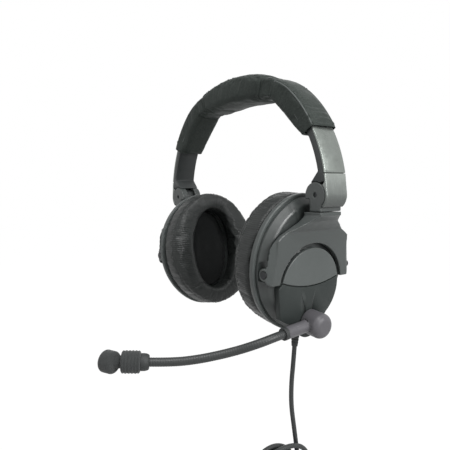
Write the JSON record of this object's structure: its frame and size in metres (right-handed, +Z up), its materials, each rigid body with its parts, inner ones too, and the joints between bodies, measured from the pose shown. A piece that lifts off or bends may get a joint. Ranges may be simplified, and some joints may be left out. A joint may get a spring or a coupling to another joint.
{
  "type": "aviation headset",
  "caption": "Over-ear aircraft headset: padded spring headband, sliding folding arms, swivelling oval ear cups, gooseneck boom microphone on one cup and a coiled cable with twin plugs.",
  "frame": {"origin": "middle of the crown pad's underside, where it rests on the wearer's head", "axes": "+Z up, +X towards the wearer's left (the cup with the boom), -Y the way the wearer faces"},
  "size_m": [0.2028, 0.1858, 0.4636],
  "materials": {
    "spring_steel": "dark tempered spring steel",
    "padding_vinyl": "soft charcoal vinyl over foam",
    "cushion_vinyl": "smooth near-black synthetic leather",
    "shell_plastic": "fine spark-textured charcoal moulding",
    "yoke_plastic": "satin glass-filled moulding",
    "arm_metal": "satin die-cast, clear anodised",
    "hub_plastic": "mid grey moulding",
    "rubber_black": "matt moulded rubber",
    "cord_jacket": "matt cord jacket",
    "screw_steel": "blackened steel",
    "plated_metal": "bright nickel plate",
    "grille_cloth": "open black ear cloth",
    "foam_black": "ribbed mic muff",
    "driver_metal": "stamped speaker frame",
    "board_laminate": "glass-fibre board, solder resist"
  },
  "bodies": {
    "headband": {"headband_spring": "spring_steel", "crown_pad": "padding_vinyl", "left_side_pad": "padding_vinyl", "right_side_pad": "padding_vinyl", "left_slider_housing": "shell_plastic", "right_slider_housing": "shell_plastic", "spring_rivets": "screw_steel"},
    "left_arm": {"left_arm_frame": "arm_metal", "left_arm_cover": "arm_metal", "left_hinge_cover": "arm_metal", "left_hinge_pin": "screw_steel"},
    "left_knuckle": {"left_hinge_knuckle": "yoke_plastic"},
    "left_yoke": {"left_yoke": "yoke_plastic", "left_swivel_clip": "screw_steel", "left_pivot_screws": "screw_steel"},
    "left_cup": {"left_ear_cushion": "cushion_vinyl", "left_baffle": "shell_plastic", "left_cup_shell": "shell_plastic", "left_pod_cap": "shell_plastic", "left_driver": "driver_metal", "left_ear_scrim": "grille_cloth", "left_cup_screws": "screw_steel", "boom_module": "shell_plastic", "hub_shaft": "screw_steel", "hub_washer": "hub_plastic", "terminal_board": "board_laminate", "cable_strain_relief": "rubber_black", "cable": "cord_jacket", "cable_coil": "cord_jacket", "cable_tie": "rubber_black", "cable_tail": "cord_jacket", "cable_splitter": "rubber_black", "headphone_lead": "cord_jacket", "microphone_lead": "cord_jacket", "headphone_plug": "plated_metal", "microphone_plug": "plated_metal"},
    "right_arm": {"right_arm_frame": "arm_metal", "right_arm_cover": "arm_metal", "right_hinge_cover": "arm_metal", "right_hinge_pin": "screw_steel"},
    "right_knuckle": {"right_hinge_knuckle": "yoke_plastic"},
    "right_yoke": {"right_yoke": "yoke_plastic", "right_swivel_clip": "screw_steel", "right_pivot_screws": "screw_steel"},
    "right_cup": {"right_ear_cushion": "cushion_vinyl", "right_baffle": "shell_plastic", "right_cup_shell": "shell_plastic", "right_pod_cap": "shell_plastic", "right_driver": "driver_metal", "right_ear_scrim": "grille_cloth", "right_cup_screws": "screw_steel", "right_panel": "shell_plastic"},
    "boom": {"boom_hub": "hub_plastic", "boom_collar": "hub_plastic", "gooseneck_base": "cord_jacket"},
    "mic_arm": {"gooseneck_end": "cord_jacket", "mic_ferrule": "rubber_black", "mic_barrel": "foam_black"},
    "mic_head": {"mic_capsule_head": "yoke_plastic", "mic_element": "grille_cloth"}
  },
  "joints": [
    {"name": "left_slider", "type": "hinge", "parent": "headband", "child": "left_arm", "pos_m": [0, 0, -0.07703], "axis": [0, 1, 0], "range_deg": [-12, 6]},
    {"name": "left_fold", "type": "hinge", "parent": "left_arm", "child": "left_knuckle", "pos_m": [0.0905, 0, -0.07503], "axis": [0, 1, 0], "range_deg": [0, 35]},
    {"name": "left_swivel", "type": "hinge", "parent": "left_knuckle", "child": "left_yoke", "pos_m": [0.0882, 0, -0.08683], "axis": [0, 0, 1], "range_deg": [-15, 20]},
    {"name": "left_tilt", "type": "hinge", "parent": "left_yoke", "child": "left_cup", "pos_m": [0.0728, 0, -0.12858], "axis": [0, 1, 0], "range_deg": [-16, 2]},
    {"name": "right_slider", "type": "hinge", "parent": "headband", "child": "right_arm", "pos_m": [0, 0, -0.07703], "axis": [0, -1, 0], "range_deg": [-12, 6]},
    {"name": "right_fold", "type": "hinge", "parent": "right_arm", "child": "right_knuckle", "pos_m": [-0.0905, 0, -0.07503], "axis": [0, 1, 0], "range_deg": [-65, 0]},
    {"name": "right_swivel", "type": "hinge", "parent": "right_knuckle", "child": "right_yoke", "pos_m": [-0.0882, 0, -0.08683], "axis": [0, 0, 1], "range_deg": [-20, 15]},
    {"name": "right_tilt", "type": "hinge", "parent": "right_yoke", "child": "right_cup", "pos_m": [-0.0728, 0, -0.12858], "axis": [0, 1, 0], "range_deg": [-2, 16]},
    {"name": "boom_swivel", "type": "hinge", "parent": "left_cup", "child": "boom", "pos_m": [0.07911, 0, -0.16769], "axis": [0.9942, 0, -0.108], "range_deg": [-40, 40]},
    {"name": "mic_bend", "type": "hinge", "parent": "boom", "child": "mic_arm", "pos_m": [0.05843, -0.06998, -0.18153], "axis": [0, 0, 1], "range_deg": [-30, 30]},
    {"name": "mic_twist", "type": "hinge", "parent": "mic_arm", "child": "mic_head", "pos_m": [0.03363, -0.11038, -0.18393], "axis": [-0.5153, -0.8547, 0.0628], "range_deg": [-60, 60]}
  ]
}
